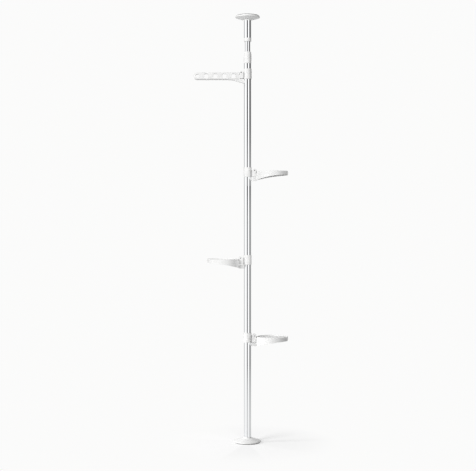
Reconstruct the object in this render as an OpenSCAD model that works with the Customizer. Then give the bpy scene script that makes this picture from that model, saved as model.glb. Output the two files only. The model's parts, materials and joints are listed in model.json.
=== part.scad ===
// Tension rod plant stand: a floor-to-ceiling pole with a hanging arm and three folding trays.
// Millimetres. +Z is up, and the origin is the centre of the face that stands on the floor.
// Each bracket is drawn at the origin, pointing along +X, and is then turned and lifted to its place.

/* [Pole tubes] */
// Outside diameter of the tube sections
tube_d = 38; // [36:0.5:42]
// Wall thickness of the tube sections
tube_wall = 1.2; // [1:0.1:1.8]
// Length of one tube section
section_len = 644; // [600:1:700]
// Length of the top section, which carries the nut
top_section_len = 636; // [600:1:700]
// Length of a coupler, half of it in each section
coupler_len = 80; // [50:1:100]
// Wall thickness of a coupler
coupler_wall = 2; // [1.5:0.1:3]
// Width of the two rolled grooves that hold a coupler
groove_w = 3; // [2:0.5:6]
// Depth of the rolled grooves
groove_depth = 0.5; // [0.3:0.1:0.8]

/* [Floor foot and ceiling pad] */
// Diameter of the floor foot
foot_d = 140; // [120:1:160]
// Slope of the foot's cone in degrees
foot_slope = 18; // [16:0.5:24]
// Height of the foot's neck, where the first tube begins
foot_neck_h = 49; // [42:1:60]
// Diameter of the ceiling pad
ceiling_d = 128; // [110:1:140]
// Slope of the ceiling pad's cone in degrees
ceiling_slope = 17; // [15:0.5:22]
// Straight neck between the ceiling pad's cone and its sleeve
ceiling_neck_h = 1; // [0.5:0.5:6]
// Radius of the rolled edge of both pads
pad_edge_r = 3.5; // [3:0.1:3.9]
// Radius of the fillet between cone and neck
pad_fillet_r = 2; // [1:0.5:4]
// Wall thickness of both moulded pads
pad_wall = 3; // [2:0.1:4]
// Number of stiffening ribs under each pad
pad_ribs = 8; // [4:1:12]
// Thickness of the stiffening ribs
pad_rib_t = 2.4; // [1.5:0.1:3.5]
// Length of the floor foot's spigot inside the tube
foot_spigot_len = 70; // [30:1:120]
// Length of the ceiling pad's spigot inside the sleeve
ceiling_spigot_len = 15; // [8:1:20]
// Thickness of the rubber discs
rubber_t = 5; // [4:0.1:6]
// How far the rubber stands out of its pad
rubber_proud = 2.5; // [1:0.1:3]
// Width of the plastic rim round the rubber disc
rubber_rim_w = 4; // [4:0.5:8]
// Number of grip grooves in each rubber disc
rubber_grooves = 4; // [2:1:6]
// Width of a grip groove
rubber_groove_w = 2; // [1:0.5:4]
// Depth of a grip groove
rubber_groove_depth = 0.7; // [0.3:0.1:1.2]

/* [Lock and rod] */
// Outside diameter of the sliding rod
rod_d = 28; // [26:0.5:29]
// Wall thickness of the rod
rod_wall = 1.2; // [1:0.1:2]
// Distance from the upper coupler up to the rod's lower end
rod_spare = 42; // [36:1:60]
// Height of the lock nut
nut_h = 60.5; // [58:0.5:70]
// Diameter of the lock nut at its widest
nut_d = 40.6; // [39.5:0.1:44]
// Height of the nut's widest band above its lower edge
nut_band_h = 30.5; // [28:0.5:36]
// Height of the nut's straight stretch under its widest band
nut_straight_h = 5; // [4:1:16]
// Height of the bevel at the nut's lower edge
nut_bevel_h = 1.5; // [0.5:0.5:4]
// Width of the flat lip round the nut's mouth
nut_lip_w = 1.2; // [0.8:0.1:2.5]
// Length of the rod that shows between nut and bush
rod_show = 53; // [52:1:80]
// Length of the collet inside the tube
collet_depth = 60; // [40:1:80]
// Outside diameter of the collet's thread, left plain
collet_d = 34; // [33:0.1:34.4]
// Height of the collet's straight body above the tube
collet_body_h = 32; // [26:1:32]
// Height of the collet's tapered fingers
collet_finger_h = 20; // [14:1:21]
// Width of the slots between the fingers
collet_slot_w = 2; // [1:0.5:4]
// Wall thickness at the tips of the collet's fingers
collet_tip_wall = 1.2; // [0.8:0.1:1.8]
// Height of the bush on the rod's lower end
guide_h = 30; // [20:1:40]
// Thickness of the bush's lip under the rod's end
guide_lip_t = 3; // [2:0.5:5]
// Width of that lip past the rod's wall
guide_lip_w = 2; // [1:0.5:4]

/* [Spring head] */
// Height of the white bush under the sleeve
bush_h = 18; // [14:1:30]
// Radius of the bush's lower edge
bush_edge_r = 3; // [1:0.5:4]
// Length of the chromed sleeve
sleeve_len = 90.5; // [84:0.5:120]
// Depth of the bush's spigot inside the sleeve
bush_spigot_len = 16; // [8:1:20]
// Height of the rod's end above the bush's lower edge
rod_engage = 47.5; // [42:0.5:50]
// Length of the plug in the rod's end
seat_plug_len = 20; // [10:1:40]
// Thickness of the spring seat
seat_t = 3; // [2:0.5:5]
// Height of the post that centres the spring
seat_post_h = 5; // [3:0.5:8]
// Gap between that post and the spring
seat_post_gap = 1; // [0.5:0.1:2]
// Outside diameter of the spring
spring_d = 25; // [22:0.5:27]
// Diameter of the spring's wire
wire_d = 2.4; // [1.8:0.1:2.8]
// Number of curls in the spring
spring_curls = 6; // [4:1:8]

/* [Bracket grips and collars] */
// Height of a tray's collar
tray_collar_h = 46; // [42:1:54]
// Height of the arm's collar
arm_collar_h = 51; // [50:1:60]
// Outside diameter of the collars
collar_d = 42; // [41.8:0.1:44]
// Bevel on the collars' edges
collar_bevel = 0.5; // [0.3:0.1:0.6]
// Outside diameter of the split grips inside the collars
grip_d = 39.8; // [39.6:0.1:40]
// Diameter of a grip's lips above and below its collar
lip_d = 41; // [40.8:0.1:41.6]
// Height of a grip's lip
lip_h = 1.5; // [1:0.1:2.5]
// Width of the split in a grip
grip_split_w = 1.6; // [1:0.1:4]

/* [Knuckles] */
// Width of a knuckle across its two ears
knuckle_w = 28; // [23:0.5:30]
// Width of the slot between the ears
ear_slot_w = 14; // [10:0.5:15]
// Gap between a knuckle and the collar that it hangs on
knuckle_gap = 3; // [1.5:0.1:3.5]
// Radius of a knuckle's outer corners
knuckle_edge_r = 3; // [1:0.5:4]
// Height of the pin above a knuckle's shoulder
knuckle_shoulder = 4; // [2:0.5:5]
// Diameter of a hinge pin
pin_d = 6; // [4:0.5:7]
// Bevel on a pin's ends
pin_bevel = 0.5; // [0.3:0.1:1]
// How far a pin's ends lie inside the ears' faces
pin_inset = 0.5; // [0.3:0.1:1.5]
// Width of the dovetail at its root
dovetail_w = 10; // [8:0.5:13]
// Depth of the dovetail
dovetail_t = 6; // [4:0.5:8]
// Height of the dovetail
dovetail_h = 18; // [12:1:20]
// Outward slope of a dovetail's flanks in degrees
dovetail_slope = 15; // [8:1:20]
// Height of the dovetail's foot above the knuckle's lower face
dovetail_low = 3; // [2:0.5:4]
// Wall between the dovetail and the slot in front of it
dovetail_wall = 3; // [2:0.5:4]
// Distance from the pole's axis to a tray's hinge pin
tray_pin_x = 36; // [34:0.5:42]
// Height of a tray's hinge pin above the middle of its collar
tray_pin_z = 9.5; // [8:0.5:12]
// Radius of the ears round a tray's pin
tray_ear_r = 9.5; // [8:0.1:10]
// Distance from the pole's axis to the arm's hinge pin
arm_pin_x = 33.5; // [32.5:0.5:36]
// Height of the arm's hinge pin above the middle of its collar
arm_pin_z = 7; // [6.5:0.5:10]
// Radius of the ears round the arm's pin
arm_ear_r = 7.5; // [7:0.1:8]
// Height from a knuckle's lower face up to the middle of its collar
knuckle_drop = 23.5; // [22:0.5:24]
// How much smaller a tongue's barrel is than the ears beside it
barrel_gap = 1; // [0.5:0.1:1.5]
// Depth of a tongue's top below the top of its tray or arm
tongue_drop = 2; // [1.5:0.5:4]
// Height of a tongue where it meets its tray or arm
tongue_h = 11; // [6:0.5:14]

/* [Trays] */
// Diameter of a tray
tray_d = 163; // [150:1:200]
// Height of a tray's top edge above the middle of its collar
tray_top = 5.5; // [4:0.5:8]
// Height of the rim at the tray's far end
rim_h = 20.5; // [18:0.5:26]
// How much deeper the skirt is at the hinge than at the far end
skirt_drop = 25; // [20:0.5:28]
// How late the skirt deepens towards the hinge
skirt_power = 2; // [1.5:0.1:4]
// Width of the tray's neck at the hinge
neck_w = 44; // [36:1:60]
// Length of the neck's straight sides, measured along the tray
neck_len = 23; // [16:1:30]
// Angle at which the neck's sides spread from the tray's middle line
neck_spread = 50; // [46:1:54]
// Depth of the dish in the tray's top
dish_depth = 4; // [3:0.5:6]
// Width of the rim round the dish
dish_rim_w = 3.5; // [3:0.1:6]
// Thickness of the tray's floor
tray_floor_t = 2.6; // [2:0.1:4]
// Thickness of the tray's skirt
skirt_t = 2.6; // [2:0.1:4]
// Radius of the rolled top edge of the rim
rim_edge_r = 1.2; // [0.5:0.1:1.6]
// Thickness of the ribs under the tray
tray_rib_t = 2.2; // [1.5:0.1:3]
// Number of drip grooves round the tray's floor
drip_grooves = 3; // [1:1:4]
// Width of a drip groove
drip_w = 3; // [2:0.5:5]
// Depth of a drip groove
drip_depth = 0.8; // [0.4:0.1:1.2]

/* [Heels] */
// Width of a heel
heel_w = 20; // [14:1:24]
// Depth of a tray's heel below the middle of its collar
tray_heel_bottom = 44.5; // [42:0.5:50]
// Depth of the arm's heel below the middle of its collar
arm_heel_bottom = 50; // [47:0.5:56]
// Gap between a grip's lower lip and the heel under it
heel_gap = 2; // [1:0.1:3]
// Length of a tray's heel past its neck, under the floor
heel_tail = 16; // [10:1:30]
// Bevel on a heel's lower edges
heel_bevel = 3; // [1:0.5:5]

/* [Hanging arm] */
// Distance from the pole's axis to the arm's tip
arm_reach = 283; // [260:1:320]
// Height of the arm's bar
arm_h = 38.5; // [36:0.5:44]
// Thickness of the arm's bar
arm_t = 24; // [20:0.5:24]
// Height of the bar's top above the middle of its collar
arm_top = 8; // [6:0.5:9]
// Radius of the bar's rounded edges
arm_edge_r = 9; // [4:0.5:9.5]
// Length of the bullet-shaped nose
nose_len = 30; // [24:1:40]
// Number of openings along the arm
arm_holes = 5; // [3:1:5]
// Distance between the middles of two openings
hole_pitch = 47.4; // [44:0.1:48]
// Distance from the tip to the middle of the opening in the nose
nose_hole_x = 19.5; // [17:0.5:22]
// Width of an opening
hole_w = 22; // [18:0.5:24]
// Height of an opening
hole_h = 26; // [22:0.1:28]
// Corner radius of the openings
hole_corner_r = 7; // [4:0.5:8]
// Wall round the opening in the nose
nose_wall = 8.5; // [7:0.5:10]
// Distance from the pole's axis to where the gusset leaves the bar
gusset_reach = 100; // [80:1:107]
// How late the gusset deepens towards the pole
gusset_power = 1.65; // [1.2:0.05:2.5]
// Thickness of the gusset
gusset_t = 18; // [12:0.5:20]
// How far the arm's rounded outlines cross its flat ones, where they would else just touch
arm_cross = 0.5; // [0.3:0.1:1]

/* [Places on the pole] */
// Distance from the top of the tubes down to the middle of the arm's collar
arm_below_top = 54.5; // [50:0.5:66]
// Distance from the arm down to the upper tray
upper_below_arm = 510.5; // [500:0.5:560]
// Distance from the upper tray down to the middle tray
middle_below_upper = 456.5; // [440:0.5:480]
// Distance from the middle tray down to the lower tray
lower_below_middle = 404.5; // [390:0.5:430]

/* [Fits] */
// Radial clearance of what slides or turns on another piece
run_fit = 0.05; // [0.02:0.01:0.08]
// Clearance of what is pushed into a tube or slot and stays there
push_fit = 0.05; // [0.02:0.01:0.1]
// Gap between pieces that move past each other without touching
free_gap = 0.3; // [0.3:0.05:0.5]
// Gap between the moving face of a tray or arm and the ears beside it
swing_gap = 2; // [1:0.1:2.5]

/* [Hidden] */
$fn = 96;

tube_r = tube_d / 2;
tube_bore_r = tube_r - tube_wall;
plug_r = tube_bore_r - push_fit;
rod_r = rod_d / 2;
rod_bore_r = rod_r - rod_wall;
rod_hole_r = rod_r + run_fit;
foot_r = foot_d / 2;
ceiling_r = ceiling_d / 2;
nut_r = nut_d / 2;
collet_r = collet_d / 2;
collar_r = collar_d / 2;
grip_r = grip_d / 2;
lip_r = lip_d / 2;
pin_r = pin_d / 2;
spring_coil_r = (spring_d - wire_d) / 2;
tray_r = tray_d / 2;

seam_low = foot_neck_h + section_len;
seam_high = seam_low + section_len;
pole_top = seam_high + top_section_len;
bush_low = pole_top + nut_h + rod_show;
sleeve_low = bush_low + bush_h;
sleeve_top = sleeve_low + sleeve_len;
rod_top = bush_low + rod_engage;
rod_low = seam_high + coupler_len / 2 + rod_spare;
ceiling_z = sleeve_top + cone_top(ceiling_r, ceiling_slope) + ceiling_neck_h;
spring_low = rod_top + seat_t;
spring_high = sleeve_top - ceiling_spigot_len;
nut_low = pole_top + free_gap;

arm_z = pole_top - arm_below_top;
upper_z = arm_z - upper_below_arm;
middle_z = upper_z - middle_below_upper;
lower_z = middle_z - lower_below_middle;

tray_neck_x = tray_pin_x + tray_ear_r + swing_gap;
tray_mid_x = tray_neck_x + tray_r;
tray_end_x = tray_mid_x + tray_r;
arm_face_x = arm_pin_x + arm_ear_r + swing_gap;

// Turn of a bracket that points along +X or -X
OUT = 0;
BACK = 180;
// Length of a cut that goes right through, and how far a shorter one runs past its end
CUT = 200;
OVER = 1;
// Straight steps in a quarter round of a profile, and rings in one curl of the spring
STEPS = 8;
CURL_RINGS = 8;

// Points of an arc in a profile, from one angle to another
function arc(x, y, r, from, to, steps = STEPS) =
    [for (i = [0 : steps]) let (a = from + (to - from) * i / steps) [x + r * cos(a), y + r * sin(a)]];

// The cone of a pad is the line of points p with normal * p = cone_line, in (radius, height)
function cone_line(r, slope) =
    sin(slope) * (r - pad_edge_r) + cos(slope) * (rubber_proud + pad_edge_r) + pad_edge_r;

// Height at which a pad's cone, with its fillet, has run into the neck
function cone_top(r, slope) =
    (cone_line(r, slope) + pad_fillet_r - sin(slope) * (tube_r + pad_fillet_r)) / cos(slope);

// Height of the inner face of a pad's cone at a radius
function cone_inside(r, slope, at) = (cone_line(r, slope) - pad_wall - sin(slope) * at) / cos(slope);

// A moulded pad with its rubber side down: rolled edge, cone, neck and hollow spigot
module pad(r, slope, neck_top, spigot_len) {
    hub_r = tube_r + pad_wall / 2;
    hollow_r = r - rubber_rim_w - pad_wall;
    bore_r = plug_r - pad_wall;
    difference() {
        union() {
            rotate_extrude() polygon(concat(
                [[0, rubber_proud]],
                arc(r - pad_edge_r, rubber_proud + pad_edge_r, pad_edge_r, -90, 90 - slope),
                arc(tube_r + pad_fillet_r, cone_top(r, slope), pad_fillet_r, 270 - slope, 180),
                [[tube_r, neck_top], [0, neck_top]]
            ));
            translate([0, 0, neck_top - pad_wall]) cylinder(r = plug_r, h = spigot_len + pad_wall);
        }
        translate([0, 0, -OVER]) cylinder(r = r - rubber_rim_w, h = rubber_t + OVER);
        translate([0, 0, rubber_t + pad_wall]) cylinder(r = bore_r, h = neck_top + spigot_len);
        difference() {
            rotate_extrude() polygon([
                [hub_r, rubber_t - OVER],
                [hollow_r, rubber_t - OVER],
                [hollow_r, cone_inside(r, slope, hollow_r)],
                [hub_r, cone_inside(r, slope, hub_r)]
            ]);
            for (i = [0 : pad_ribs - 1]) rotate([0, 0, 360 * i / pad_ribs])
                translate([0, -pad_rib_t / 2, rubber_t]) cube([r, pad_rib_t, neck_top]);
        }
    }
}

// A rubber disc, face down, with ring grooves in the face that grips
module pad_rubber(r) {
    disc_r = r - rubber_rim_w - free_gap;
    groove_step = disc_r / (rubber_grooves + 2);
    difference() {
        cylinder(r = disc_r, h = rubber_t);
        for (i = [2 : rubber_grooves + 1]) translate([0, 0, -OVER]) difference() {
            cylinder(r = i * groove_step + rubber_groove_w / 2, h = OVER + rubber_groove_depth);
            translate([0, 0, -OVER]) cylinder(r = i * groove_step - rubber_groove_w / 2, h = CUT);
        }
    }
}

// A plain tube standing at a height
module tube(low, length, r, bore_r) {
    translate([0, 0, low]) difference() {
        cylinder(r = r, h = length);
        translate([0, 0, -OVER]) cylinder(r = bore_r, h = length + 2 * OVER);
    }
}

// A sleeve across the seam between two sections, with a rolled groove near each end
module coupler(seam) {
    difference() {
        tube(seam - coupler_len / 2, coupler_len, plug_r, plug_r - coupler_wall);
        for (side = [-1, 1]) translate([0, 0, seam + side * coupler_len / 4 - groove_w / 2]) difference() {
            cylinder(r = plug_r + OVER, h = groove_w);
            translate([0, 0, -OVER]) cylinder(r = plug_r - groove_depth, h = groove_w + 2 * OVER);
        }
    }
}

module floor_pad() {
    color("dimgray") pad_rubber(foot_r);
}

module floor_foot() {
    color("white") pad(foot_r, foot_slope, foot_neck_h, foot_spigot_len);
}

module lower_tube() {
    color("silver") tube(foot_neck_h, section_len, tube_r, tube_bore_r);
}

module middle_tube() {
    color("silver") tube(seam_low, section_len, tube_r, tube_bore_r);
}

module upper_tube() {
    color("silver") tube(seam_high, top_section_len, tube_r, tube_bore_r);
}

module lower_coupler() {
    color("gainsboro") coupler(seam_low);
}

module upper_coupler() {
    color("gainsboro") coupler(seam_high);
}

// Split collet: a spigot in the tube, a body for the nut's thread and tapered fingers round the rod
module lock_collet() {
    color("whitesmoke") translate([0, 0, pole_top]) difference() {
        union() {
            translate([0, 0, -collet_depth]) cylinder(r = plug_r, h = collet_depth);
            translate([0, 0, -OVER]) cylinder(r = collet_r, h = collet_body_h + OVER);
            translate([0, 0, collet_body_h])
                cylinder(r1 = collet_r, r2 = rod_hole_r + collet_tip_wall, h = collet_finger_h);
        }
        translate([0, 0, -collet_depth - OVER])
            cylinder(r = rod_hole_r, h = collet_depth + collet_body_h + collet_finger_h + 2 * OVER);
        for (turn = [0, 90]) rotate([0, 0, turn])
            translate([-CUT / 2, -collet_slot_w / 2, collet_body_h / 2]) cube([CUT, collet_slot_w, CUT]);
    }
}

// Twist nut: a tulip that narrows from its widest band to the rod, hollow over the collet
module lock_nut() {
    shoulder_h = nut_h - nut_band_h;
    mouth_r = rod_r + 2 * free_gap;
    top_r = mouth_r + nut_lip_w;
    throat_r = rod_hole_r + collet_tip_wall + free_gap;
    throat_z = collet_body_h + collet_finger_h + free_gap;
    color("white") translate([0, 0, nut_low]) difference() {
        rotate_extrude() polygon(concat(
            [[0, 0], [tube_r, 0], [tube_r + free_gap, nut_bevel_h]],
            [[nut_r, nut_band_h - nut_straight_h], [nut_r, nut_band_h]],
            [for (i = [1 : STEPS]) let (a = 90 * i / STEPS)
                [top_r + (nut_r - top_r) * cos(a), nut_band_h + (shoulder_h - free_gap) * sin(a)]],
            [[0, nut_h - free_gap]]
        ));
        rotate_extrude() polygon([
            [0, -OVER], [collet_r + run_fit, -OVER], [collet_r + run_fit, collet_body_h],
            [throat_r, throat_z], [mouth_r, throat_z], [mouth_r, nut_h + OVER], [0, nut_h + OVER]
        ]);
    }
}

module extension_rod() {
    color("silver") tube(rod_low, rod_top - rod_low, rod_r, rod_bore_r);
}

// Bush that keeps the rod's lower end central in the tube: a cup round the rod's end
module rod_guide() {
    color("whitesmoke") translate([0, 0, rod_low]) difference() {
        translate([0, 0, -guide_lip_t]) cylinder(r = tube_bore_r - run_fit, h = guide_h);
        cylinder(r = rod_r + push_fit, h = guide_h);
        translate([0, 0, -guide_lip_t - OVER])
            cylinder(r = rod_bore_r - guide_lip_w, h = guide_lip_t + 2 * OVER);
    }
}

// Plug in the rod's end that carries the spring and centres it on a post
module spring_seat() {
    color("whitesmoke") translate([0, 0, rod_top]) {
        translate([0, 0, -seat_plug_len]) cylinder(r = rod_bore_r - push_fit, h = seat_plug_len);
        cylinder(r = rod_r, h = seat_t);
        cylinder(r = spring_coil_r - wire_d / 2 - seat_post_gap, h = seat_t + seat_post_h);
    }
}

// Centre line of the spring: straight ends one wire long, and a helix between them
spring_rings = CURL_RINGS * spring_curls;
spring_rise = spring_high - spring_low - 2 * wire_d;
spring_path = concat(
    [[spring_coil_r, 0, spring_low]],
    [for (i = [0 : spring_rings]) let (a = 360 * i / CURL_RINGS, z = spring_rise * i / spring_rings)
        [spring_coil_r * cos(a), spring_coil_r * sin(a), spring_low + wire_d + z]],
    [[spring_coil_r * cos(360 * spring_curls), spring_coil_r * sin(360 * spring_curls), spring_high]]
);
spring_last = len(spring_path) - 1;
spring_gap = min([for (i = [0 : spring_last]) for (j = [i + CURL_RINGS / 2 : 1 : spring_last])
    norm(spring_path[i] - spring_path[j])]) - wire_d;
echo(least_gap_between_curls = spring_gap);

// Unit vector along the path at a point, and one ring of the tube's skin there
function along(path, i) = let (
    step = path[min(i + 1, len(path) - 1)] - path[max(i - 1, 0)]
) step / norm(step);
function skin_ring(path, i, r, sides) = let (
    t = along(path, i),
    out = [path[i][0], path[i][1], 0] / norm([path[i][0], path[i][1], 0]),
    b = cross(t, out) / norm(cross(t, out)),
    n = cross(b, t)
) [for (k = [0 : sides - 1]) let (a = 360 * k / sides) path[i] + r * (cos(a) * n + sin(a) * b)];

// A tube swept along a path as triangles
module swept_tube(path, r, sides = 6) {
    last = len(path) - 1;
    skin = [for (i = [0 : last]) each skin_ring(path, i, r, sides)];
    sides_faces = [for (i = [0 : last - 1]) for (k = [0 : sides - 1]) let (
        a = i * sides + k,
        b = i * sides + (k + 1) % sides
    ) each [[a, a + sides, b], [b, a + sides, b + sides]]];
    low_cap = [for (k = [1 : sides - 2]) [0, k, k + 1]];
    high_cap = [for (k = [1 : sides - 2]) [last * sides, last * sides + k + 1, last * sides + k]];
    polyhedron(points = skin, faces = concat(sides_faces, low_cap, high_cap));
}

module head_spring() {
    color("gray") swept_tube(spring_path, wire_d / 2);
}

// White bush at the sleeve's lower end, with a rounded lower edge, that runs on the rod
module sleeve_bush() {
    color("white") translate([0, 0, bush_low]) difference() {
        union() {
            rotate_extrude() polygon(concat(
                [[0, 0]], arc(tube_r - bush_edge_r, bush_edge_r, bush_edge_r, -90, 0),
                [[tube_r, bush_h], [0, bush_h]]
            ));
            translate([0, 0, bush_h - OVER]) cylinder(r = plug_r, h = bush_spigot_len + OVER);
        }
        translate([0, 0, -OVER]) cylinder(r = rod_hole_r, h = bush_h + bush_spigot_len + 2 * OVER);
    }
}

module spring_sleeve() {
    color("silver") tube(sleeve_low, sleeve_len, tube_r, tube_bore_r);
}

// Turns a pad over, so that its rubber side faces the ceiling
module at_ceiling() {
    translate([0, 0, ceiling_z]) mirror([0, 0, 1]) children();
}

module ceiling_pad() {
    color("white") at_ceiling()
        pad(ceiling_r, ceiling_slope, ceiling_z - sleeve_top, ceiling_spigot_len);
}

module ceiling_rubber() {
    color("dimgray") at_ceiling() pad_rubber(ceiling_r);
}

// Lifts a bracket to its place on the pole and turns it
module at(z, turn) {
    translate([0, 0, z]) rotate([0, 0, turn]) children();
}

// Extrudes a profile drawn in (x, z) to both sides of the bracket's middle plane
module slab(width) {
    rotate([90, 0, 0]) linear_extrude(height = width, center = true) children();
}

// Split grip: a thin sleeve on the pole with a lip above and below the collar that turns on it
module grip(collar_h) {
    half = collar_h / 2 + free_gap;
    difference() {
        union() {
            translate([0, 0, -half]) cylinder(r = grip_r, h = 2 * half);
            translate([0, 0, -half - lip_h]) cylinder(r = lip_r, h = lip_h);
            translate([0, 0, half]) cylinder(r1 = lip_r, r2 = grip_r, h = lip_h);
        }
        translate([0, 0, -half - lip_h - OVER]) cylinder(r = tube_r + run_fit, h = 2 * (half + lip_h + OVER));
        translate([-CUT, -grip_split_w / 2, -CUT / 2]) cube([CUT, grip_split_w, CUT]);
    }
}

// Outline of the dovetail seen from above, grown by a clearance
module dovetail(grow = 0) {
    root_x = collar_r + knuckle_gap;
    spread = dovetail_t * tan(dovetail_slope);
    polygon([
        [collar_r - OVER, -dovetail_w / 2 - grow],
        [root_x, -dovetail_w / 2 - grow],
        [root_x + dovetail_t + grow, -dovetail_w / 2 - spread - grow],
        [root_x + dovetail_t + grow, dovetail_w / 2 + spread + grow],
        [root_x, dovetail_w / 2 + grow],
        [collar_r - OVER, dovetail_w / 2 + grow]
    ]);
}

// Collar: a ring with bevelled edges that turns on the grip, with the dovetail for the knuckle
module collar(collar_h) {
    half = collar_h / 2;
    difference() {
        union() {
            rotate_extrude() polygon([
                [0, -half], [collar_r - collar_bevel, -half], [collar_r, collar_bevel - half],
                [collar_r, half - collar_bevel], [collar_r - collar_bevel, half], [0, half]
            ]);
            translate([0, 0, dovetail_low - knuckle_drop]) linear_extrude(height = dovetail_h) dovetail();
        }
        translate([0, 0, -half - OVER]) cylinder(r = grip_r + run_fit, h = collar_h + 2 * OVER);
    }
}

// Knuckle: a block with two ears round the hinge pin, hung on the collar's dovetail
module knuckle(pin_x, pin_z, ear_r) {
    front_x = pin_x + ear_r;
    corner_x = front_x - knuckle_edge_r;
    corner_y = knuckle_w / 2 - knuckle_edge_r;
    slot_back = pin_x - ear_r + push_fit;
    low_slot_x = max(slot_back, collar_r + knuckle_gap + dovetail_t + dovetail_wall);
    difference() {
        intersection() {
            slab(knuckle_w) union() {
                translate([pin_x, pin_z]) circle(r = ear_r);
                polygon([
                    [0, -knuckle_drop],
                    [corner_x, -knuckle_drop],
                    [front_x, knuckle_edge_r - knuckle_drop],
                    [front_x, pin_z],
                    [pin_x - ear_r * cos(60), pin_z + ear_r * sin(60)],
                    [tube_r, pin_z - knuckle_shoulder],
                    [0, pin_z - knuckle_shoulder]
                ]);
            }
            translate([0, 0, -CUT / 2]) linear_extrude(height = CUT) union() {
                translate([0, -knuckle_w / 2]) square([corner_x, knuckle_w]);
                translate([0, -corner_y]) square([front_x, 2 * corner_y]);
                for (side = [-1, 1]) translate([corner_x, side * corner_y]) circle(r = knuckle_edge_r);
            }
        }
        translate([0, 0, -CUT / 2]) cylinder(r = collar_r + knuckle_gap, h = CUT);
        translate([slot_back, -ear_slot_w / 2, pin_z - ear_r]) cube([CUT, ear_slot_w, CUT]);
        translate([low_slot_x, -ear_slot_w / 2, -CUT / 2]) cube([CUT, ear_slot_w, CUT]);
        translate([0, 0, -knuckle_drop - OVER])
            linear_extrude(height = OVER + dovetail_low + dovetail_h + push_fit) dovetail(push_fit);
        translate([pin_x, 0, pin_z]) rotate([90, 0, 0])
            cylinder(r = pin_r + push_fit, h = CUT, center = true);
    }
}

// Hinge pin with bevelled ends, a little shorter than the knuckle is wide
module pin(pin_x, pin_z) {
    half = knuckle_w / 2 - pin_inset;
    translate([pin_x, 0, pin_z]) rotate([90, 0, 0]) rotate_extrude() polygon([
        [0, -half], [pin_r - pin_bevel, -half], [pin_r, pin_bevel - half],
        [pin_r, half - pin_bevel], [pin_r - pin_bevel, half], [0, half]
    ]);
}

// Tongue: the barrel between the ears and the web that joins it to a face at face_x
module tongue(pin_x, pin_z, ear_r, face_x, face_top) {
    barrel_r = ear_r - barrel_gap;
    web_top = face_top - tongue_drop;
    root_x = pin_x + barrel_r * cos(60);
    root_z = barrel_r * sin(60);
    slab(ear_slot_w - 2 * free_gap) union() {
        translate([pin_x, pin_z]) circle(r = barrel_r);
        polygon([
            [root_x, pin_z - root_z], [face_x + OVER, web_top - tongue_h],
            [face_x + OVER, web_top], [root_x, pin_z + root_z]
        ]);
    }
}

// What is cut from a tongue and heel: the pin's hole and the saddle round the pole
module tongue_cuts(pin_x, pin_z) {
    translate([pin_x, 0, pin_z]) rotate([90, 0, 0])
        cylinder(r = pin_r + run_fit, h = CUT, center = true);
    translate([0, 0, -CUT / 2]) cylinder(r = tube_r + free_gap, h = CUT);
}

// Height of a tray's lower edge at a distance from the pole
function skirt_z(x) = tray_top - rim_h
    - skirt_drop * pow((tray_end_x - x) / (tray_end_x - tray_neck_x), skirt_power);

// Outline of a tray seen from above, drawn in by a wall: a disc with a neck that spreads into it
module tray_plan(wall = 0) {
    disc_y = neck_w / 2 + neck_len * tan(neck_spread);
    translate([tray_mid_x, 0]) circle(r = tray_r - wall);
    polygon([
        [tray_neck_x + wall, wall - neck_w / 2],
        [tray_neck_x + neck_len, wall - disc_y],
        [tray_neck_x + neck_len, disc_y - wall],
        [tray_neck_x + wall, neck_w / 2 - wall]
    ]);
}

// Everything inside a tray's skirt profile, seen from the side
module skirt_wedge() {
    steps = 2 * STEPS;
    slab(CUT * 2) polygon(concat(
        [[tray_neck_x, tray_top + OVER]],
        [for (i = [0 : steps]) let (x = tray_neck_x + (tray_end_x - tray_neck_x) * i / steps)
            [x, skirt_z(x)]],
        [[tray_end_x + OVER, skirt_z(tray_end_x)], [tray_end_x + OVER, tray_top + OVER]]
    ));
}

// Ribs under the floor of a tray: two along it, a ring, and three struts across
module tray_ribs() {
    for (side = [-1, 1]) translate([tray_neck_x, side * heel_w / 2 - tray_rib_t / 2, -CUT])
        cube([2 * tray_r, tray_rib_t, CUT]);
    translate([tray_mid_x, 0, -CUT]) difference() {
        cylinder(r = tray_r / 2 + tray_rib_t / 2, h = CUT);
        translate([0, 0, -OVER]) cylinder(r = tray_r / 2 - tray_rib_t / 2, h = CUT + 2 * OVER);
    }
    for (turn = [45, 90, 135]) translate([tray_mid_x, 0, 0]) rotate([0, 0, turn])
        translate([-tray_r, -tray_rib_t / 2, -CUT]) cube([2 * tray_r, tray_rib_t, CUT]);
}

// Heel of a tray: a block under the knuckle that bears on the pole, seen from the side
module tray_heel() {
    heel_top = -(tray_collar_h / 2 + free_gap + lip_h + heel_gap);
    tail_x = tray_neck_x + heel_tail;
    slab(heel_w) polygon([
        [tube_r - heel_bevel, heel_top], [tail_x, heel_top], [tail_x, skirt_z(tail_x) + OVER],
        [tray_neck_x, heel_bevel - tray_heel_bottom], [tray_neck_x - heel_bevel, -tray_heel_bottom],
        [tube_r + heel_bevel, -tray_heel_bottom], [tube_r, heel_bevel - tray_heel_bottom],
        [tube_r - heel_bevel, heel_bevel - tray_heel_bottom]
    ]);
}

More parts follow.
